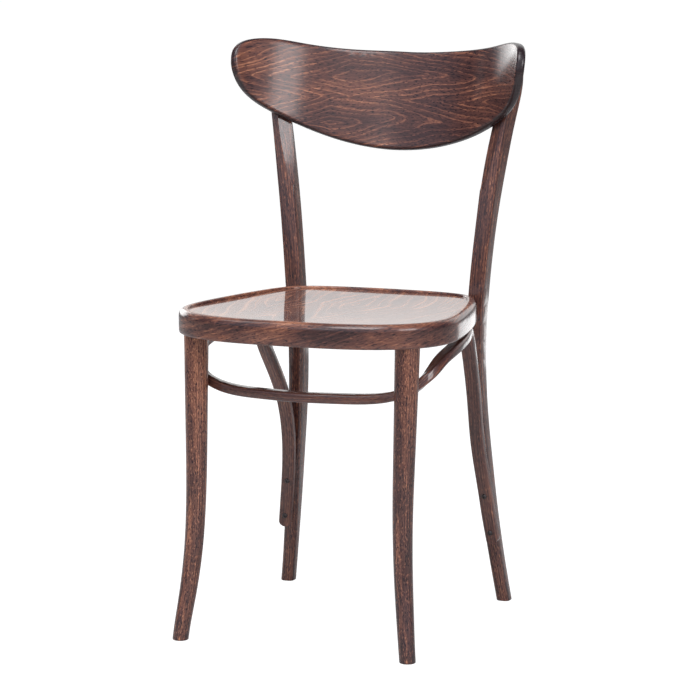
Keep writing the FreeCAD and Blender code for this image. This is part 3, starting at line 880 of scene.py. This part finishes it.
# in reflections a white sheet hangs behind the chair, in a dim room
turned = addNode(tree, "ShaderNodeMapping", {"Rotation": (0, 0, math.radians(-photoView["azimuth"]))})
tree.links.new(addNode(tree, "ShaderNodeTexCoord").outputs["Generated"], turned.inputs["Vector"])
parts = addNode(tree, "ShaderNodeSeparateXYZ")
tree.links.new(turned.outputs["Vector"], parts.inputs[0])
sheet = addRamp(tree, mixIn(tree, parts.outputs["Y"], 0.5, 0.5), studio["sheet"])
room = addNode(tree, "ShaderNodeBackground", {"Strength": 1.0})
tree.links.new(sheet, room.inputs["Color"])
white = addNode(tree, "ShaderNodeBackground", {"Color": grey(1), "Strength": 1.0})
path = addNode(tree, "ShaderNodeLightPath")
inside = addNode(tree, "ShaderNodeMixShader")
tree.links.new(path.outputs["Is Glossy Ray"], inside.inputs["Fac"])
tree.links.new(plain.outputs[0], inside.inputs[1])
tree.links.new(room.outputs[0], inside.inputs[2])
mix = addNode(tree, "ShaderNodeMixShader")
tree.links.new(path.outputs["Is Camera Ray"], mix.inputs["Fac"])
tree.links.new(inside.outputs[0], mix.inputs[1])
tree.links.new(white.outputs[0], mix.inputs[2])
out = addNode(tree, "ShaderNodeOutputWorld")
tree.links.new(mix.outputs[0], out.inputs["Surface"])

floorPlace = (0, 0, cadLow.z - studio["floorDrop"])
bpy.ops.mesh.primitive_plane_add(size=studio["floorSize"], location=floorPlace)
floor = bpy.context.active_object
floor.name = "floor"
floorPaint = bpy.data.materials.new("floorPaint")
floorPaint.use_nodes = True
tree = floorPaint.node_tree
tree.nodes.clear()
paint = addNode(tree, "ShaderNodeBsdfDiffuse", {"Color": studio["floorPaint"]})
shaded = addNode(tree, "ShaderNodeBsdfDiffuse", {"Color": grey(studio["floorGrey"])})
glow = addNode(tree, "ShaderNodeEmission", {"Color": grey(1), "Strength": studio["floorGlow"]})
seen = addNode(tree, "ShaderNodeAddShader")
tree.links.new(shaded.outputs[0], seen.inputs[0])
tree.links.new(glow.outputs[0], seen.inputs[1])
mix = addNode(tree, "ShaderNodeMixShader")
tree.links.new(addNode(tree, "ShaderNodeLightPath").outputs["Is Camera Ray"], mix.inputs["Fac"])
tree.links.new(paint.outputs[0], mix.inputs[1])
tree.links.new(seen.outputs[0], mix.inputs[2])
out = addNode(tree, "ShaderNodeOutputMaterial")
tree.links.new(mix.outputs[0], out.inputs["Surface"])
floor.data.materials.append(floorPaint)

for name, (azimuth, elevation, distance, width, height, brightness) in studio["lamps"].items():
    data = bpy.data.lights.new(name, "AREA")
    data.shape = "RECTANGLE"
    data.size = width
    data.size_y = height
    data.energy = brightness * width * height * math.pi
    lamp = bpy.data.objects.new(name, data)
    bpy.context.scene.collection.objects.link(lamp)
    away = direction(azimuth, elevation)
    lamp.location = Vector(studio["lampsFace"]) + away * distance
    lamp.rotation_mode = "QUATERNION"
    lamp.rotation_quaternion = away.to_track_quat("Z", "Y")
    lamp.visible_camera = False
print("studio done")

cameraData = bpy.data.cameras.new("photoCamera")
cameraData.lens = photoView["lens"]
cameraData.sensor_width = photoView["sensor"]
cameraData.shift_x, cameraData.shift_y = photoView["shift"]
cameraData.clip_start, cameraData.clip_end = photoView["clip"]
camera = bpy.data.objects.new("photoCamera", cameraData)
bpy.context.scene.collection.objects.link(camera)
away = direction(photoView["azimuth"], photoView["elevation"])
camera.location = Vector(photoView["target"]) + away * photoView["distance"]
camera.rotation_mode = "QUATERNION"
camera.rotation_quaternion = away.to_track_quat("Z", "Y")
bpy.context.scene.camera = camera
bpy.context.scene.view_settings.view_transform = "Standard"
print("camera done")
